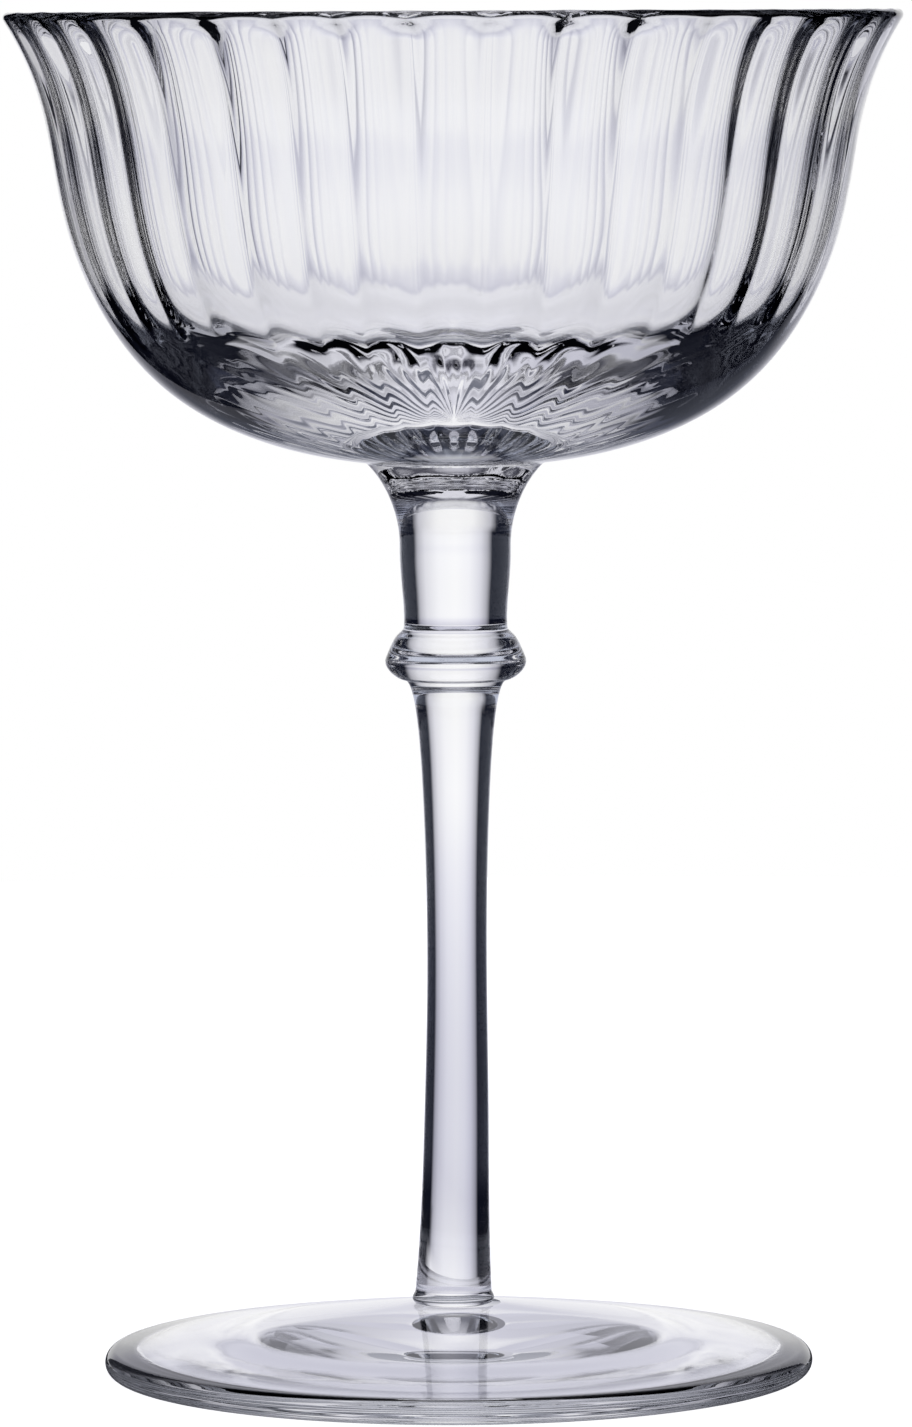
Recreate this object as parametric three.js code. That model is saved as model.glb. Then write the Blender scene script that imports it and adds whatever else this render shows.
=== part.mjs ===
// A stemmed cocktail glass of clear, hand-worked glass: a ribbed bowl, a stem in four pieces and a
// foot, welded hot to one another on one upright axis. Millimetres, +Z up, the foot rests on Z = 0,
// and the front of the glass faces -Y.
import * as THREE from "three";
import { NURBSCurve } from "three/addons/curves/NURBSCurve.js";

// Weld planes, as heights above the table
const BOWL_WELD = 107.2;
const KNOP_TOP_WELD = 88;
const KNOP_BOTTOM_WELD = 81.8;
const COLLAR_TOP_WELD = 9.6;
const FOOT_WELD = 8.2;

// Outlines: control points of smooth curves, each a [radius, height]
const BOWL_OUTLINE = [
  [0, 106.9], [10.3, 106.9], [23.6, 109.2], [36.4, 116.9],
  [43.8, 129], [46.7, 140.3], [48, 152], [52.4, 159.1],
];
const BOWL_INSIDE = [
  [0, 115.6], [12, 115.6], [25, 117.6], [36.2, 122.6], [41.5, 129],
  [44.3, 140], [46.2, 149.5], [48.2, 155.5], [51.3, 159.7],
];
const NECK_OUTLINE = [
  [6.1, KNOP_TOP_WELD], [5.9, 89.6], [6.8, 96.8], [6.2, 99.3], [8.1, 105], [10.3, BOWL_WELD],
];
const KNOP_OUTLINE = [
  [6, KNOP_BOTTOM_WELD], [7.2, 82.1], [8.6, 83.7], [8, 84.9], [7.1, 87.2], [6.1, 87.7], [6.1, KNOP_TOP_WELD],
];
const SHAFT_OUTLINE = [
  [4.5, COLLAR_TOP_WELD], [4, 16.5], [3.8, 32], [3.4, 47.5], [3.7, 68], [4.7, 81.2], [5.9, KNOP_BOTTOM_WELD],
];
const COLLAR_OUTLINE = [[4.3, FOOT_WELD], [5.1, 8.5], [4.8, 9.1], [4.5, COLLAR_TOP_WELD]];
const FOOT_TOP_OUTLINE = [[40.2, 3], [36, 3.7], [24, 5.5], [12, 7.3], [4.95, FOOT_WELD]];
const FOOT_UNDERSIDE = [[0, 2.4], [13, 2.4], [24, 2.3], [28, 1.1], [33, 0.7], [37.5, 0]];
const FOOT_EDGE_RADIUS = 1.5;

// Upright ribs on the inner face of the bowl: their full depth, and shares of it on the bottom, at the turn
// into the wall, on the wall and at the rim, with the radii or heights where one share goes into the next
const RIB_COUNT = 36;
const RIB_DEPTH = 0.8;
const RIB_BOTTOM = 0.09;
const RIB_TURN = 0.03;
const RIB_WALL = 0.6;
const RIB_RIM = 0.1;
const RIB_HUB = [1, 8];
const RIB_FADE = [14, 24];
const RIB_START = [122, 131];
const RIB_RISE = [134, 155];
const RIB_END = [157.6, 159.6];

// Uneven hand work, as waves round the bowl: [number, size, phase] for the place of a rib in degrees,
// and for its depth as a share
const RIB_SHIFT = [[3, 0.8, 0.4], [7, 0.7, 2.1], [11, 0.5, 4]];
const RIB_UNEVEN = [[5, 0.22, 1], [13, 0.2, 3.3], [8, 0.12, 5.1]];

// The drawn shaft leans a little towards -X below this height, by this much at the table
const LEAN_TOP = 50;
const LEAN = 0.9;

// Facets
const RIB_STEPS = 4;
const STEM_FACETS = 36;
const FOOT_FACETS = 72;
const BOWL_STEPS = 12;
const INSIDE_STEPS = 18;
const STEM_STEPS = 10;
const COLLAR_STEPS = 4;
const FOOT_STEPS = 5;
const UNDERSIDE_STEPS = 12;
const EDGE_STEPS = 4;
const RIM_STEPS = 4;

const CLEAR_GLASS = { color: 0xeceef4, roughness: 0.03, metalness: 0 };

const { degToRad, lerp, smoothstep } = THREE.MathUtils;

// A clamped cubic curve that follows a list of control points.
function smoothCurve(controlPoints) {
  const degree = 3;
  const spans = controlPoints.length - degree;
  const inner = Array.from({ length: spans - 1 }, (_, i) => (i + 1) / spans);
  const ends = (value) => Array(degree + 1).fill(value);
  const weighted = controlPoints.map(([radius, height]) => new THREE.Vector4(radius, height, 0, 1));
  return new NURBSCurve(degree, [...ends(0), ...inner, ...ends(1)], weighted);
}

// Points along a smooth outline, as [radius, height] vectors for a lathe.
function outline(controlPoints, steps) {
  const curve = smoothCurve(controlPoints);
  return Array.from({ length: steps + 1 }, (_, i) => {
    const { x, y } = curve.getPoint(i / steps);
    return new THREE.Vector2(x, y);
  });
}

// Points of an arc round a centre, both ends included.
function arc(centre, radius, fromAngle, toAngle, steps) {
  return Array.from({ length: steps + 1 }, (_, i) => {
    const angle = lerp(fromAngle, toAngle, i / steps);
    return new THREE.Vector2(centre.x + radius * Math.cos(angle), centre.y + radius * Math.sin(angle));
  });
}

// Turns a profile about the upright axis; the seam of the lathe is at the front, on -Y.
function turned(profile, facets) {
  return new THREE.LatheGeometry(profile, facets).rotateX(Math.PI / 2);
}

// Turns an outline that runs upwards, with a flat disc closing each end.
function turnedSolid(points, facets) {
  const first = points[0];
  const last = points[points.length - 1];
  return turned([new THREE.Vector2(0, first.y), ...points, new THREE.Vector2(0, last.y)], facets);
}

// The lean of the shaft: none above LEAN_TOP, growing with the square of the distance below it.
function leaned(geometry) {
  const position = geometry.attributes.position;
  for (let i = 0; i < position.count; i += 1) {
    const drop = Math.max(0, 1 - position.getZ(i) / LEAN_TOP);
    position.setX(i, position.getX(i) - LEAN * drop * drop);
  }
  return geometry;
}

// Sum of waves round the bowl.
function waves(angle, terms) {
  return terms.reduce((sum, [number, size, phase]) => sum + size * Math.sin(number * angle + phase), 0);
}

// Depth of the ribs at a point of the inner outline, before their unevenness.
function ribDepth({ x, y }) {
  const bottom = lerp(RIB_BOTTOM, RIB_TURN, smoothstep(x, ...RIB_FADE));
  const lower = lerp(bottom, RIB_WALL, smoothstep(y, ...RIB_START));
  const upper = lerp(lower, 1, smoothstep(y, ...RIB_RISE));
  return RIB_DEPTH * lerp(upper, RIB_RIM, smoothstep(y, ...RIB_END)) * smoothstep(x, ...RIB_HUB);
}

// The bowl: its outer outline, a round rim and an inner outline over a heavy bottom. Each rib is a ridge
// on the inner face, raised along the face's normal, with a shallow hollow panel on each side.
function bowlGeometry() {
  const neckRadius = NECK_OUTLINE[NECK_OUTLINE.length - 1][0];
  const seat = [new THREE.Vector2(0, BOWL_WELD), new THREE.Vector2(neckRadius, BOWL_WELD)];
  const outside = outline(BOWL_OUTLINE, BOWL_STEPS).filter((point) => point.x > neckRadius + 1);
  const inside = outline(BOWL_INSIDE, INSIDE_STEPS).toReversed();
  const rimCentre = outside[outside.length - 1].clone().add(inside[0]).multiplyScalar(0.5);
  const rimReach = outside[outside.length - 1].clone().sub(rimCentre);
  const rimAngle = rimReach.angle() - 2 * Math.PI;
  const rim = arc(rimCentre, rimReach.length(), rimAngle, rimAngle + Math.PI, RIM_STEPS).slice(1, -1);
  const profile = [...seat, ...outside, ...rim, ...inside];

  const insideStart = profile.length - inside.length;
  const insideCurve = smoothCurve(BOWL_INSIDE);
  const lifts = inside.map((point, i) => {
    const tangent = insideCurve.getTangent(1 - i / INSIDE_STEPS);
    return new THREE.Vector2(-tangent.y, tangent.x).multiplyScalar(ribDepth(point));
  });

  const facets = RIB_COUNT * RIB_STEPS;
  const geometry = turned(profile, facets);
  const position = geometry.attributes.position;
  for (let i = 0; i < position.count; i += 1) {
    const row = i % profile.length;
    const even = (2 * Math.PI * (Math.floor(i / profile.length) % facets)) / facets;
    const angle = even - degToRad(waves(even, RIB_SHIFT));
    const ridge = (1 - Math.abs(Math.cos((RIB_COUNT * even) / 2))) * (1 + waves(even, RIB_UNEVEN));
    const point = profile[row].clone();
    if (row >= insideStart) point.addScaledVector(lifts[row - insideStart], ridge);
    position.setXYZ(i, point.x * Math.sin(angle), -point.x * Math.cos(angle), point.y);
  }
  return geometry;
}

// The foot: a low cone on top, a round edge, a narrow flat ring to stand on, and an underside that rises
// in a soft step to a shallow round recess.
function footGeometry() {
  const [edgeX] = FOOT_TOP_OUTLINE[0];
  const edgeCentre = new THREE.Vector2(edgeX, FOOT_EDGE_RADIUS);
  const underside = outline(FOOT_UNDERSIDE, UNDERSIDE_STEPS);
  const edge = arc(edgeCentre, FOOT_EDGE_RADIUS, -Math.PI / 2, Math.PI / 2, EDGE_STEPS);
  const top = outline(FOOT_TOP_OUTLINE, FOOT_STEPS).slice(1);
  return turned([...underside, ...edge, ...top, new THREE.Vector2(0, FOOT_WELD)], FOOT_FACETS);
}

const PIECES = {
  bowl: bowlGeometry(),
  stem_neck: turnedSolid(outline(NECK_OUTLINE, STEM_STEPS), STEM_FACETS),
  stem_knop: turnedSolid(outline(KNOP_OUTLINE, STEM_STEPS), STEM_FACETS),
  stem_shaft: leaned(turnedSolid(outline(SHAFT_OUTLINE, STEM_STEPS), STEM_FACETS)),
  foot_collar: leaned(turnedSolid(outline(COLLAR_OUTLINE, COLLAR_STEPS), STEM_FACETS)),
  foot: footGeometry(),
};

const cocktailGlass = new THREE.Group();
for (const [name, geometry] of Object.entries(PIECES)) {
  const piece = new THREE.Mesh(geometry, new THREE.MeshStandardMaterial(CLEAR_GLASS));
  piece.name = name;
  cocktailGlass.add(piece);
}

export default cocktailGlass;
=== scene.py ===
import math

import bpy
import numpy as np
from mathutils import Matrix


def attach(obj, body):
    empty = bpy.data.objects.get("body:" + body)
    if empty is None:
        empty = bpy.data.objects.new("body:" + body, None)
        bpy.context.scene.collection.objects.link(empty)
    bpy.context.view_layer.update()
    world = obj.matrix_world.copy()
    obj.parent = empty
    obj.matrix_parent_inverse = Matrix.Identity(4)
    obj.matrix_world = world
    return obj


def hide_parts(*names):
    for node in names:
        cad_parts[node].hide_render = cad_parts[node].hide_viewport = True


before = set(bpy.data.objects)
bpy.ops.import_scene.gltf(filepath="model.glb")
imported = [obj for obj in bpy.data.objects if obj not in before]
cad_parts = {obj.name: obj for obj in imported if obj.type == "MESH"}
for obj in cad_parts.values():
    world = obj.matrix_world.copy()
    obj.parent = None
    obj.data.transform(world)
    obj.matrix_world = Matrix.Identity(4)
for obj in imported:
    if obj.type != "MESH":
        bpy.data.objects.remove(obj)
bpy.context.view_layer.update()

# One millimetre in metres and one degree in radians. All sizes below are in millimetres and degrees
MM = 0.001
DEG = math.radians(1)
QUARTER_TURN = 90
HALF_TURN = 180

# Camera, as the photograph was taken: level with the rim, looking a little down
CAMERA_DISTANCE = 1040
CAMERA_HEIGHT = 160
CAMERA_TILT = 4.517
CAMERA_ROLL = -0.25
LENS = 224.3
SENSOR = 36.0

# Weld planes, as heights above the table
BOWL_WELD = 107.2
KNOP_TOP_WELD = 88.0
KNOP_BOTTOM_WELD = 81.8
COLLAR_TOP_WELD = 9.6
FOOT_WELD = 8.2

# Outlines: control points of smooth curves, each a (radius, height)
BOWL_OUTLINE = [
    (0, 106.9), (10.3, 106.9), (23.6, 109.2), (36.4, 116.9),
    (43.8, 129), (46.7, 140.3), (48, 152), (52.4, 159.1),
]
BOWL_INSIDE = [
    (0, 115.6), (12, 115.6), (25, 117.6), (36.2, 122.6), (41.5, 129),
    (44.3, 140), (46.2, 149.5), (48.2, 155.5), (51.3, 159.7),
]
NECK_OUTLINE = [
    (6.1, KNOP_TOP_WELD), (5.9, 89.6), (6.8, 96.8), (6.2, 99.3), (8.1, 105), (10.3, BOWL_WELD),
]
KNOP_OUTLINE = [
    (6, KNOP_BOTTOM_WELD), (7.2, 82.1), (8.6, 83.7), (8, 84.9),
    (7.1, 87.2), (6.1, 87.7), (6.1, KNOP_TOP_WELD),
]
SHAFT_OUTLINE = [
    (4.5, COLLAR_TOP_WELD), (4, 16.5), (3.8, 32), (3.4, 47.5),
    (3.7, 68), (4.7, 81.2), (5.9, KNOP_BOTTOM_WELD),
]
COLLAR_OUTLINE = [(4.3, FOOT_WELD), (5.1, 8.5), (4.8, 9.1), (4.5, COLLAR_TOP_WELD)]
FOOT_TOP_OUTLINE = [(40.2, 3), (36, 3.7), (24, 5.5), (12, 7.3), (4.95, FOOT_WELD)]
FOOT_UNDERSIDE = [(0, 2.4), (13, 2.4), (24, 2.3), (28, 1.1), (33, 0.7), (37.5, 0)]
FOOT_EDGE_RADIUS = 1.5

# Upright ribs on the inner face of the bowl: their full depth, the softness of their crest as a share of
# it, and shares of it on the bottom, at the turn into the wall, on the wall and at the rim, with the radii
# or heights where one share goes into the next
RIB_COUNT = 36
RIB_DEPTH = 0.8
RIB_CREST = 0.12
RIB_BOTTOM = 0.09
RIB_TURN = 0.03
RIB_WALL = 0.6
RIB_RIM = 0.1
RIB_HUB = (1.0, 8.0)
RIB_FADE = (14.0, 24.0)
RIB_START = (122.0, 131.0)
RIB_RISE = (134.0, 155.0)
RIB_END = (157.6, 159.6)

# Uneven hand work, as waves round the bowl: (number, size, phase) for the place of a rib in degrees, and
# for its depth as a share
RIB_SHIFT = [(3, 0.8, 0.4), (7, 0.7, 2.1), (11, 0.5, 4.0)]
RIB_UNEVEN = [(5, 0.22, 1.0), (13, 0.2, 3.3), (8, 0.12, 5.1)]

# The drawn shaft leans a little towards -X below this height, by this much at the table
LEAN_TOP = 50.0
LEAN = 0.9

# Fineness of the meshes
RIB_COLUMNS = 16
BOWL_COLUMNS = RIB_COUNT * RIB_COLUMNS
BOWL_ROWS = 74
RIM_ROWS = 12
STEM_COLUMNS = 160
STEM_ROWS = 90
FOOT_COLUMNS = 256
FOOT_ROWS = 60
EDGE_ROWS = 24
FLOOR_COLUMNS = 128

# Points on the bowl's outline that are searched for the one just past the weld, and how far past it that is
SEARCH_ROWS = BOWL_ROWS * 4
WELD_GAP = 0.4

# Share of an outline that stays open round the axis, where a fan of triangles closes it
AXIS_GAP = 0.01

# Faces that meet at more than this angle keep a sharp edge
SHARP_ANGLE = 50

# Outlines are cubic curves, and TINY keeps their formula from dividing by zero
CURVE_DEGREE = 3
TINY = 1e-9

# Clear glass, and the faint cords in its surface: their size, the pattern of the noise that draws them,
# their depth and their strength
GLASS_IOR = 1.52
GLASS_TINT = "#fefeff"
CORD_SIZE = 9
CORD_DETAIL = 1.5
CORD_ROUGHNESS = 0.4
CORD_DEPTH = 0.05
CORD_STRENGTH = 0.25

# What the glass sees: colours by compass direction, from straight behind it (0) to its right (positive).
# For light with a mirror bounce in the glass: near the horizon, below it and above it
AROUND = [
    (-180, "#cbd0de"), (-140, "#c0c6d8"), (-118, "#0c0e18"), (-36, "#0c0e18"), (-32, "#b0b0b6"),
    (-26, "#d0d0d4"), (-12, "#f4f4f6"), (0, "#ffffff"), (12, "#f4f4f6"), (26, "#d0d0d4"),
    (33, "#b0b0b6"), (37, "#0c0e18"), (118, "#0c0e18"), (140, "#c0c6d8"), (180, "#cbd0de"),
]
AROUND_LOW = [
    (-180, "#3c404e"), (-97, "#444859"), (-28, "#444859"), (-20, "#9a9aa0"), (-10, "#888c97"),
    (22, "#888c97"), (30, "#444859"), (97, "#444859"), (180, "#3c404e"),
]
AROUND_HIGH = [
    (-180, "#cbd0de"), (-140, "#c0c6d8"), (-118, "#80828e"), (-70, "#9496a2"), (-30, "#bcbcc8"),
    (-12, "#cacad6"), (0, "#dadae4"), (12, "#e0e0e8"), (30, "#c8c8d0"), (70, "#9496a2"),
    (118, "#80828e"), (140, "#c0c6d8"), (180, "#cbd0de"),
]

# For light that the glass has only bent: near the horizon, below it and above it
STRAIGHT = [
    (-180, "#dfe3ee"), (-100, "#dfe3ee"), (-86, "#c8ccd8"), (-78, "#10131f"), (-31, "#10131f"),
    (-26, "#b0b0b8"), (-19, "#e0e0e8"), (-10, "#f8f8fb"), (0, "#ffffff"), (12, "#fafafc"),
    (24, "#e4e4ea"), (32, "#b8b8c0"), (37, "#10131f"), (78, "#10131f"), (86, "#c8ccd8"),
    (100, "#dfe3ee"), (180, "#dfe3ee"),
]
STRAIGHT_LOW = [(-180, "#f2f2f6"), (-60, "#e8e8ee"), (0, "#ffffff"), (60, "#e8e8ee"), (180, "#f2f2f6")]
STRAIGHT_HIGH = [
    (-180, "#cbd0de"), (-97, "#c0c6d8"), (-78, "#1c1f2b"), (-36, "#1c1f2b"), (-28, "#c0c0c8"),
    (-12, "#fbfbfb"), (0, "#ffffff"), (12, "#fbfbfb"), (30, "#c8c8d0"), (38, "#1c1f2b"),
    (78, "#1c1f2b"), (97, "#c0c6d8"), (180, "#cbd0de"),
]

# Heights over which the colours near the horizon give way: to those above it for all light, and to those
# below it for light with a mirror bounce and for light without one
SKY = (6.0, 12.0)
AROUND_GROUND = (-10.0, -18.0)
STRAIGHT_GROUND = (-12.0, -12.8)

# Shades by height, from straight down (-90) to straight up (90), for light with a mirror bounce and without
AROUND_UPWARD = [
    (-90, "#bbbbbf"), (-62, "#cacace"), (-52, "#f5f5f6"), (-46, "#f2f2f3"), (-38, "#c2c2c6"),
    (-24, "#c2c2c6"), (-9, "#d8d8e2"), (-4.5, "#f0f0f6"), (-2.5, "#ffffff"), (28, "#ffffff"),
    (45, "#616168"), (90, "#595960"),
]
STRAIGHT_UPWARD = [
    (-90, "#ececf2"), (-40, "#ececf2"), (-12, "#f2f2f6"), (-9, "#dadae4"), (-4.5, "#f0f0f6"),
    (-2.5, "#ffffff"), (28, "#ffffff"), (45, "#8a8a92"), (90, "#8a8a92"),
]

# A soft light overhead, and the heights over which it comes in
OVERHEAD = "#dcdce4"
OVERHEAD_RISE = (60.0, 72.0)

# A path has no mirror bounce if its count of them is under this
NO_BOUNCE = 0.5

# The table top as the glass sees it, a glowing surface with painted light and shade: rings of painted light
# and painted shade under the foot, as (radius, colour), and past UNDER_FOOT the colours by compass, painted
# light behind the glass and painted shade at its flanks. It fades away over the radii TABLE_END; straight
# behind the glass, inside the compass angles TABLE_BACK, it does so nearer, over TABLE_BACK_END
PAINTED_TABLE_RINGS = [
    (0, "#d4d4e0"), (24, "#c6c6d4"), (27, "#d0d0dc"), (30, "#a8a8b8"), (35, "#d0d0dc"), (50, "#d0d0dc"),
]
RINGS_REACH = 90
PAINTED_TABLE_AROUND = [
    (-180, "#3a3c46"), (-150, "#101118"), (-22, "#101118"), (-12, "#7a7c86"), (0, "#b4b6c0"),
    (12, "#7a7c86"), (22, "#101118"), (150, "#101118"), (180, "#3a3c46"),
]
UNDER_FOOT = (35, 38)
TABLE_END = (80, 110)
TABLE_BACK_END = (42, 50)
TABLE_BACK = (40, 28)

# The background and the floor as the camera sees them
BACKGROUND = "#ffffff"
FLOOR_RADIUS = 600
FLOOR_PAINT = "#f0f0f2"
FLOOR_GLOW = 0.9

# Two upright dark cards beside the glass, each from the (x, y) of its back edge to that of its front edge
CARD_COLOUR = "#0a0b14"
CARD_BOTTOM = 2
CARD_TOP = 700
LEFT_CARD = ((-73, 100), (-120, -10))
RIGHT_CARD = ((98, 100), (125, -10))

# How often light may bounce in all and off a mirror, and how many faces it may pass straight through
LIGHT_BOUNCES = 64
MIRROR_BOUNCES = 12
STRAIGHT_PASSES = 32


def smooth_curve(control_points, along):
    """Clamped cubic B-spline: each point is the control points weighted by the basis of its place along."""
    control = np.asarray(control_points, float)
    inner = np.linspace(0, 1, len(control) - CURVE_DEGREE + 1)
    knots = np.concatenate([np.zeros(CURVE_DEGREE), inner, np.ones(CURVE_DEGREE)])
    at = np.clip(along, 0, 1 - TINY)[:, None]
    basis = ((knots[:-1] <= at) & (at < knots[1:])).astype(float)
    for degree in range(1, CURVE_DEGREE + 1):
        low = knots[: -degree - 1]
        high = knots[degree + 1 :]
        span_low = np.maximum(knots[degree:-1] - low, TINY)
        span_high = np.maximum(high - knots[1:-degree], TINY)
        basis = (at - low) / span_low * basis[:, :-1] + (high - at) / span_high * basis[:, 1:]
    return basis @ control


def smooth_step(low, high, value):
    """0 up to low, 1 from high on, and the S of 3 s^2 - 2 s^3 between them."""
    share = np.clip((value - low) / (high - low), 0, 1)
    return share * share * (3 - 2 * share)


def full_turn(columns):
    """Even angles of a full turn."""
    return np.linspace(0, 2 * math.pi, columns, endpoint=False)


def turn(profile, columns):
    """Repeats a profile of (radius, height) rows at even angles: arrays of radius, height and angle."""
    radius = np.repeat(profile[:, :1], columns, axis=1)
    height = np.repeat(profile[:, 1:], columns, axis=1)
    return radius, height, np.broadcast_to(full_turn(columns), radius.shape)


def place(radius, height, angle, lean=0.0):
    """Points in metres of a turned surface: x = r sin(angle) + lean, y = -r cos(angle), z = height."""
    x = radius * np.sin(angle) + lean
    y = -radius * np.cos(angle)
    return np.stack([x, y, height], axis=-1) * MM


def closed_piece(name, points, node, first_weld, last_weld):
    """Mesh of a ring-by-ring grid that closes on itself sideways, with a fan of triangles on each end.

    points is rings x columns x 3. Each fan meets at the middle of its end ring. An end that is a weld has
    welded glass, because the glass goes on into the next piece there.
    """
    rings, columns, _ = points.shape
    middles = np.stack([points[0].mean(axis=0), points[-1].mean(axis=0)])
    vertices = np.concatenate([points.reshape(-1, 3), middles])
    here = np.arange(rings * columns).reshape(rings, columns)
    beside = np.roll(here, -1, axis=1)
    quads = np.stack([here[:-1], beside[:-1], beside[1:], here[1:]], axis=-1).reshape(-1, 4)
    first_middle = np.full(columns, rings * columns)
    last_middle = first_middle + 1
    fans = np.concatenate([
        np.stack([first_middle, beside[0], here[0]], axis=-1),
        np.stack([last_middle, here[-1], beside[-1]], axis=-1),
    ])
    corners = np.concatenate([quads.ravel(), fans.ravel()])
    sizes = np.concatenate([np.full(len(quads), 4), np.full(len(fans), 3)])
    starts = np.concatenate([[0], np.cumsum(sizes)[:-1]])
    finish = np.zeros(len(sizes), dtype=np.int32)
    finish[len(quads) : len(quads) + columns] = int(first_weld)
    finish[len(quads) + columns :] = int(last_weld)

    mesh = bpy.data.meshes.new(name)
    mesh.vertices.add(len(vertices))
    mesh.vertices.foreach_set("co", vertices.ravel())
    mesh.loops.add(len(corners))
    mesh.loops.foreach_set("vertex_index", corners.astype(np.int32))
    mesh.polygons.add(len(sizes))
    mesh.polygons.foreach_set("loop_start", starts.astype(np.int32))
    mesh.polygons.foreach_set("material_index", finish)
    mesh.polygons.foreach_set("use_smooth", np.ones(len(sizes), dtype=bool))
    mesh.update(calc_edges=True)
    mesh.validate()
    mesh.set_sharp_from_angle(angle=SHARP_ANGLE * DEG)
    mesh.materials.append(CLEAR_GLASS)
    mesh.materials.append(WELDED_GLASS)
    piece = bpy.data.objects.new(name, mesh)
    bpy.context.scene.collection.objects.link(piece)
    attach(piece, "root")
    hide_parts(node)


def linear(hex_colour):
    """sRGB hex to linear RGBA."""
    channels = [int(hex_colour[i : i + 2], 16) / 255 for i in (1, 3, 5)]
    return [c / 12.92 if c <= 0.04045 else ((c + 0.055) / 1.055) ** 2.4 for c in channels] + [1.0]


def add_node(tree, kind, settings=None, **links):
    """Adds a node; settings are its properties or input values, links are the sockets that feed its inputs.

    An input goes by its name or by its number, which is written i0, i1 and so on in the links.
    """
    node = tree.nodes.new(kind)
    for key, value in (settings or {}).items():
        if isinstance(key, str) and hasattr(node, key):
            setattr(node, key, value)
        else:
            node.inputs[key].default_value = value
    for key, socket in links.items():
        number = key[1:]
        tree.links.new(socket, node.inputs[int(number) if number.isdigit() else key])
    return node


def new_material(name):
    """An empty material and its node tree."""
    material = bpy.data.materials.new(name)
    material.use_nodes = True
    material.node_tree.nodes.clear()
    return material, material.node_tree


def clear_glass():
    """Soda-lime crystal, blown and fire polished.

    It has no colour of its own and shows what is around it, mirrored, bent and a little wavy from the faint
    cords that the hand work leaves.
    """
    material, tree = new_material("fire_polished_clear_glass")
    where = add_node(tree, "ShaderNodeTexCoord")
    cords = add_node(
        tree, "ShaderNodeTexNoise",
        {"Scale": 1 / (CORD_SIZE * MM), "Detail": CORD_DETAIL, "Roughness": CORD_ROUGHNESS},
        Vector=where.outputs["Object"])
    bump = add_node(
        tree, "ShaderNodeBump", {"Strength": CORD_STRENGTH, "Distance": CORD_DEPTH * MM},
        Height=cords.outputs["Fac"])
    glass = add_node(
        tree, "ShaderNodeBsdfPrincipled",
        {"Base Color": linear(GLASS_TINT), "Roughness": 0.0, "IOR": GLASS_IOR, "Transmission Weight": 1.0},
        Normal=bump.outputs["Normal"])
    add_node(tree, "ShaderNodeOutputMaterial", Surface=glass.outputs["BSDF"])
    return material


def welded_glass():
    """Inside a weld the glass goes on without a step, so its faces neither bend nor mirror light."""
    material, tree = new_material("welded_glass")
    inside = add_node(tree, "ShaderNodeBsdfTransparent")
    add_node(tree, "ShaderNodeOutputMaterial", Surface=inside.outputs["BSDF"])
    return material


def shaft_lean(height):
    """Sideways lean of the shaft: none above LEAN_TOP, below it as the square of the distance from it."""
    return -LEAN * np.clip(1 - height / LEAN_TOP, 0, None) ** 2


def waves(angle, terms):
    """Sum of sines round the bowl, from (number, size, phase) terms."""
    return sum(size * np.sin(number * angle + phase) for number, size, phase in terms)


def rib_height(even, inside):
    """Height of the ribs over the inner face, rows of the inside by columns of even angles.

    Each rib is 1 - |cos(count x angle / 2)| with a softened crest, scaled by slow waves round the bowl and
    by a share that goes from the bottom to the turn, the wall and the rim, and fades near the axis.
    """
    radius = inside[:, 0]
    height = inside[:, 1]
    share = RIB_BOTTOM + (RIB_TURN - RIB_BOTTOM) * smooth_step(*RIB_FADE, radius)
    share += (RIB_WALL - share) * smooth_step(*RIB_START, height)
    share += (1 - share) * smooth_step(*RIB_RISE, height)
    share += (RIB_RIM - share) * smooth_step(*RIB_END, height)
    share *= smooth_step(*RIB_HUB, radius)
    fold = np.sqrt(np.cos(RIB_COUNT * even / 2) ** 2 + RIB_CREST ** 2)
    valley = math.hypot(1, RIB_CREST)
    ridge = (valley - fold) / (valley - RIB_CREST)
    return RIB_DEPTH * share[:, None] * ridge * (1 + waves(even, RIB_UNEVEN))


def make_bowl():
    """Bowl: outer outline, half-round rim and ribbed inner outline, turned about the axis.

    The inner face moves along its normal by the height of the ribs, each column of the rim is a half
    circle from the outer edge to the inner edge, and slow waves shift the columns round the bowl.
    """
    neck_radius = NECK_OUTLINE[-1][0]
    along = np.linspace(0, 1, SEARCH_ROWS)
    first = np.interp(neck_radius + WELD_GAP, smooth_curve(BOWL_OUTLINE, along)[:, 0], along)
    outside = smooth_curve(BOWL_OUTLINE, np.linspace(first, 1, BOWL_ROWS))
    outside = np.concatenate([[[neck_radius, BOWL_WELD]], outside])
    inside = smooth_curve(BOWL_INSIDE, np.linspace(1, AXIS_GAP, BOWL_ROWS))
    inward = np.gradient(inside, axis=0)[:, ::-1] * (1, -1)
    inward /= np.linalg.norm(inward, axis=1)[:, None]

    even = full_turn(BOWL_COLUMNS)
    angle = even - waves(even, RIB_SHIFT) * DEG
    inner = inside[:, None] + inward[:, None] * rib_height(even, inside)[..., None]
    outer = np.repeat(outside[:, None], BOWL_COLUMNS, axis=1)
    middle = (outer[-1] + inner[0]) / 2
    reach = outer[-1] - middle
    across = np.stack([-reach[:, 1], reach[:, 0]], axis=1)
    turn_by = np.linspace(0, math.pi, RIM_ROWS + 2)[1:-1, None, None]
    rim = middle + np.cos(turn_by) * reach + np.sin(turn_by) * across
    profile = np.concatenate([outer, rim, inner])
    points = place(profile[..., 0], profile[..., 1], angle)
    closed_piece("blown_bowl", points, "bowl", True, False)


def make_stem_piece(name, control_points, node):
    """A turned solid between two welds, leaning with the shaft."""
    profile = smooth_curve(control_points, np.linspace(0, 1, STEM_ROWS))
    radius, height, angle = turn(profile, STEM_COLUMNS)
    points = place(radius, height, angle, shaft_lean(height))
    closed_piece(name, points, node, True, True)


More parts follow.
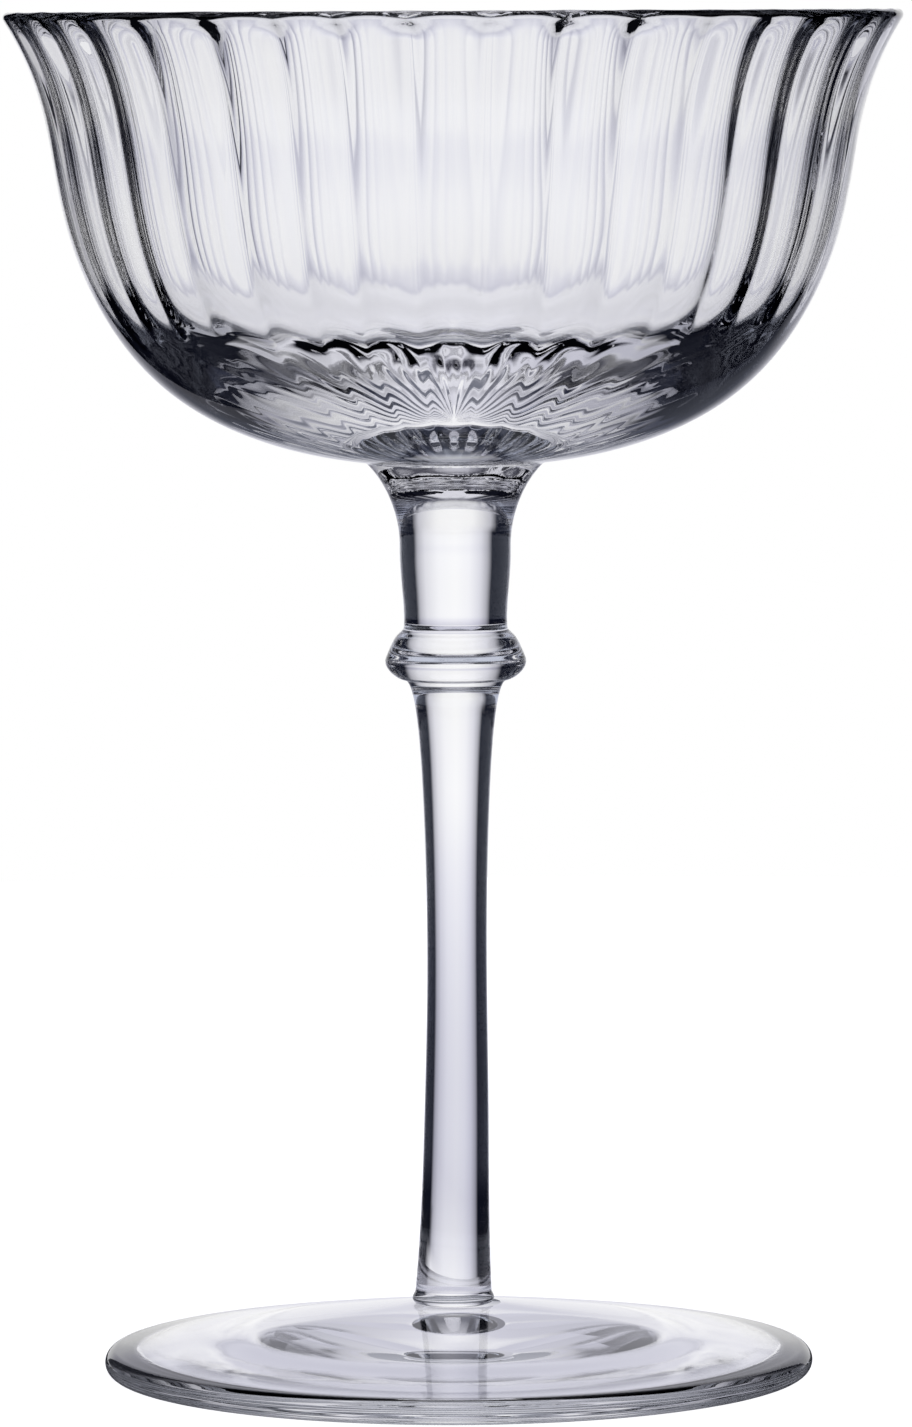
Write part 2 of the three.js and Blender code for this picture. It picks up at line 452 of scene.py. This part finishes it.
def make_foot():
    """Foot: hollow underside, flat ring to stand on, half-round edge and a low cone on top, turned."""
    underside = smooth_curve(FOOT_UNDERSIDE, np.linspace(AXIS_GAP, 1, FOOT_ROWS))
    turn_by = np.linspace(-math.pi / 2, math.pi / 2, EDGE_ROWS)
    edge = np.stack([
        FOOT_TOP_OUTLINE[0][0] + FOOT_EDGE_RADIUS * np.cos(turn_by),
        FOOT_EDGE_RADIUS + FOOT_EDGE_RADIUS * np.sin(turn_by),
    ], axis=1)
    top = smooth_curve(FOOT_TOP_OUTLINE, np.linspace(0, 1, FOOT_ROWS))[1:]
    radius, height, angle = turn(np.concatenate([underside, edge, top]), FOOT_COLUMNS)
    closed_piece("round_foot", place(radius, height, angle), "foot", False, True)


def colours_along(tree, value, unit, reach, stops):
    """Colours along a value that runs from -reach to reach units, from stops of (units, colour)."""
    share = add_node(
        tree, "ShaderNodeMath", {"operation": "MULTIPLY_ADD", 1: 1 / (2 * reach * unit), 2: 0.5}, i0=value)
    ramp = add_node(tree, "ShaderNodeValToRGB", i0=share.outputs[0])
    marks = ramp.color_ramp.elements
    while len(marks) < len(stops):
        marks.new(0.5)
    for mark, (stop, colour) in zip(marks, stops):
        mark.position = stop / (2 * reach) + 0.5
        mark.color = linear(colour)
    return ramp.outputs[0]


def range_over(span, unit):
    """Settings of a Map Range that goes from 0 to 1 over a span of units."""
    start, full = span
    return {"From Min": start * unit, "From Max": full * unit}


def surroundings(tree, compass, rise, level, zones, upward):
    """Colours by compass that give way to those of each zone over its span of heights, times a shade.

    The shade goes by height alone.
    """
    colour = colours_along(tree, compass, DEG, HALF_TURN, level)
    for span, stops in zones:
        share = add_node(tree, "ShaderNodeMapRange", range_over(span, DEG), Value=rise)
        zone = colours_along(tree, compass, DEG, HALF_TURN, stops)
        mixed = add_node(tree, "ShaderNodeMixRGB", Fac=share.outputs[0], Color1=colour, Color2=zone)
        colour = mixed.outputs[0]
    shade = colours_along(tree, rise, DEG, QUARTER_TURN, upward)
    shaded = add_node(
        tree, "ShaderNodeMixRGB", {"blend_type": "MULTIPLY", "Fac": 1.0}, Color1=colour, Color2=shade)
    return shaded.outputs[0]


def make_world():
    """White for the camera; for the glass a bright panel behind, dark flanks and a dimmer front.

    Light with a mirror bounce in the glass and light without one have surroundings of their own.
    """
    world = bpy.data.worlds.new("studio")
    bpy.context.scene.world = world
    world.use_nodes = True
    tree = world.node_tree
    tree.nodes.clear()
    where = add_node(tree, "ShaderNodeTexCoord")
    parts = add_node(tree, "ShaderNodeSeparateXYZ", i0=where.outputs["Generated"])
    east, north, up = parts.outputs
    compass = add_node(tree, "ShaderNodeMath", {"operation": "ARCTAN2"}, i0=east, i1=north).outputs[0]
    rise = add_node(tree, "ShaderNodeMath", {"operation": "ARCSINE"}, i0=up).outputs[0]
    turned = surroundings(
        tree, compass, rise, AROUND, [(AROUND_GROUND, AROUND_LOW), (SKY, AROUND_HIGH)], AROUND_UPWARD)
    bent = surroundings(
        tree, compass, rise, STRAIGHT, [(STRAIGHT_GROUND, STRAIGHT_LOW), (SKY, STRAIGHT_HIGH)],
        STRAIGHT_UPWARD)
    rays = add_node(tree, "ShaderNodeLightPath")
    straight = add_node(
        tree, "ShaderNodeMath", {"operation": "LESS_THAN", 1: NO_BOUNCE}, i0=rays.outputs["Glossy Depth"])
    panel = add_node(tree, "ShaderNodeMixRGB", Fac=straight.outputs[0], Color1=turned, Color2=bent)
    top = add_node(tree, "ShaderNodeMapRange", range_over(OVERHEAD_RISE, DEG), Value=rise)
    lit = add_node(
        tree, "ShaderNodeMixRGB", {"Color2": linear(OVERHEAD)}, Fac=top.outputs[0], Color1=panel.outputs[0])
    seen = add_node(
        tree, "ShaderNodeMixRGB", {"Color2": linear(BACKGROUND)}, Fac=rays.outputs["Is Camera Ray"],
        Color1=lit.outputs[0])
    light = add_node(tree, "ShaderNodeBackground", {"Strength": 1.0}, Color=seen.outputs[0])
    add_node(tree, "ShaderNodeOutputWorld", Surface=light.outputs[0])


def pale_floor():
    """White paint with a soft shadow for the camera; for the glass a glowing table top with painted light
    and shade that ends round its foot.
    """
    material, tree = new_material("pale_floor")
    where = add_node(tree, "ShaderNodeTexCoord")
    length = add_node(tree, "ShaderNodeVectorMath", {"operation": "LENGTH"}, i0=where.outputs["Object"])
    radius = length.outputs["Value"]
    parts = add_node(tree, "ShaderNodeSeparateXYZ", i0=where.outputs["Object"])
    east, north, _ = parts.outputs
    compass = add_node(tree, "ShaderNodeMath", {"operation": "ARCTAN2"}, i0=east, i1=north).outputs[0]

    # Painted light and shade on the glowing table: rings under the foot, then light behind and shade at the
    # flanks by compass
    rings = colours_along(tree, radius, MM, RINGS_REACH, PAINTED_TABLE_RINGS)
    sides = colours_along(tree, compass, DEG, HALF_TURN, PAINTED_TABLE_AROUND)
    outside = add_node(tree, "ShaderNodeMapRange", range_over(UNDER_FOOT, MM), Value=radius)
    colour = add_node(tree, "ShaderNodeMixRGB", Fac=outside.outputs[0], Color1=rings, Color2=sides)
    table = add_node(tree, "ShaderNodeEmission", {"Strength": 1.0}, Color=colour.outputs[0])

    aside = add_node(tree, "ShaderNodeMath", {"operation": "ABSOLUTE"}, i0=compass)
    back = add_node(tree, "ShaderNodeMapRange", range_over(TABLE_BACK, DEG), Value=aside.outputs[0])
    near = add_node(tree, "ShaderNodeMapRange", range_over(TABLE_BACK_END, MM), Value=radius)
    far = add_node(tree, "ShaderNodeMapRange", range_over(TABLE_END, MM), Value=radius)
    behind = add_node(
        tree, "ShaderNodeMath", {"operation": "MULTIPLY"}, i0=near.outputs[0], i1=back.outputs[0])
    beyond = add_node(
        tree, "ShaderNodeMath", {"operation": "MAXIMUM"}, i0=behind.outputs[0], i1=far.outputs[0])
    past = add_node(tree, "ShaderNodeBsdfTransparent")
    table_top = add_node(
        tree, "ShaderNodeMixShader", Fac=beyond.outputs[0], i1=table.outputs[0], i2=past.outputs[0])

    paint = add_node(tree, "ShaderNodeBsdfDiffuse", {"Color": linear(FLOOR_PAINT)})
    glow = add_node(tree, "ShaderNodeEmission", {"Strength": FLOOR_GLOW})
    white = add_node(tree, "ShaderNodeAddShader", i0=paint.outputs[0], i1=glow.outputs[0])
    rays = add_node(tree, "ShaderNodeLightPath")
    seen = add_node(
        tree, "ShaderNodeMixShader", Fac=rays.outputs["Is Camera Ray"], i1=table_top.outputs[0],
        i2=white.outputs[0])
    add_node(tree, "ShaderNodeOutputMaterial", Surface=seen.outputs[0])
    return material


def dark_card():
    """Dark for light with a mirror bounce in the glass, and not there for the camera and all other light."""
    material, tree = new_material("dark_card")
    rays = add_node(tree, "ShaderNodeLightPath")
    straight = add_node(
        tree, "ShaderNodeMath", {"operation": "LESS_THAN", 1: NO_BOUNCE}, i0=rays.outputs["Glossy Depth"])
    dark = add_node(tree, "ShaderNodeEmission", {"Color": linear(CARD_COLOUR), "Strength": 1.0})
    past = add_node(tree, "ShaderNodeBsdfTransparent")
    seen = add_node(
        tree, "ShaderNodeMixShader", Fac=straight.outputs[0], i1=dark.outputs[0], i2=past.outputs[0])
    add_node(tree, "ShaderNodeOutputMaterial", Surface=seen.outputs[0])
    return material


def stage_face(name, corners, material):
    """One flat face of the studio, from corners in millimetres."""
    mesh = bpy.data.meshes.new(name)
    mesh.from_pydata((np.asarray(corners) * MM).tolist(), [], [list(range(len(corners)))])
    mesh.materials.append(material)
    face = bpy.data.objects.new(name, mesh)
    bpy.context.scene.collection.objects.link(face)


def make_card(name, back_edge, front_edge):
    """An upright card from its back edge to its front edge."""
    corners = [
        (*back_edge, CARD_BOTTOM), (*front_edge, CARD_BOTTOM),
        (*front_edge, CARD_TOP), (*back_edge, CARD_TOP),
    ]
    stage_face(name, corners, dark_card())


def make_floor():
    """A wide disc on the table plane: x = r cos(angle), y = r sin(angle)."""
    angle = full_turn(FLOOR_COLUMNS)
    corners = np.stack([np.cos(angle), np.sin(angle), np.zeros_like(angle)], axis=1) * FLOOR_RADIUS
    stage_face("floor", corners, pale_floor())


def make_camera():
    """The camera in front of the glass; in the order ZXY its Z turn comes first, so it is a roll."""
    camera_data = bpy.data.cameras.new("camera")
    camera_data.sensor_width = SENSOR
    camera_data.lens = LENS
    camera = bpy.data.objects.new("camera", camera_data)
    bpy.context.scene.collection.objects.link(camera)
    camera.location = (0, -CAMERA_DISTANCE * MM, CAMERA_HEIGHT * MM)
    camera.rotation_mode = "ZXY"
    camera.rotation_euler = ((QUARTER_TURN - CAMERA_TILT) * DEG, 0, CAMERA_ROLL * DEG)
    bpy.context.scene.camera = camera


CLEAR_GLASS = clear_glass()
WELDED_GLASS = welded_glass()

make_bowl()
make_stem_piece("waisted_neck", NECK_OUTLINE, "stem_neck")
make_stem_piece("ring_knop", KNOP_OUTLINE, "stem_knop")
make_stem_piece("drawn_shaft", SHAFT_OUTLINE, "stem_shaft")
make_stem_piece("weld_bead", COLLAR_OUTLINE, "foot_collar")
make_foot()

make_card("left_flag", *LEFT_CARD)
make_card("right_flag", *RIGHT_CARD)
make_world()
make_floor()
make_camera()

scene = bpy.context.scene
scene.view_settings.view_transform = "Standard"
scene.cycles.max_bounces = LIGHT_BOUNCES
scene.cycles.transmission_bounces = LIGHT_BOUNCES
scene.cycles.glossy_bounces = MIRROR_BOUNCES
scene.cycles.transparent_max_bounces = STRAIGHT_PASSES
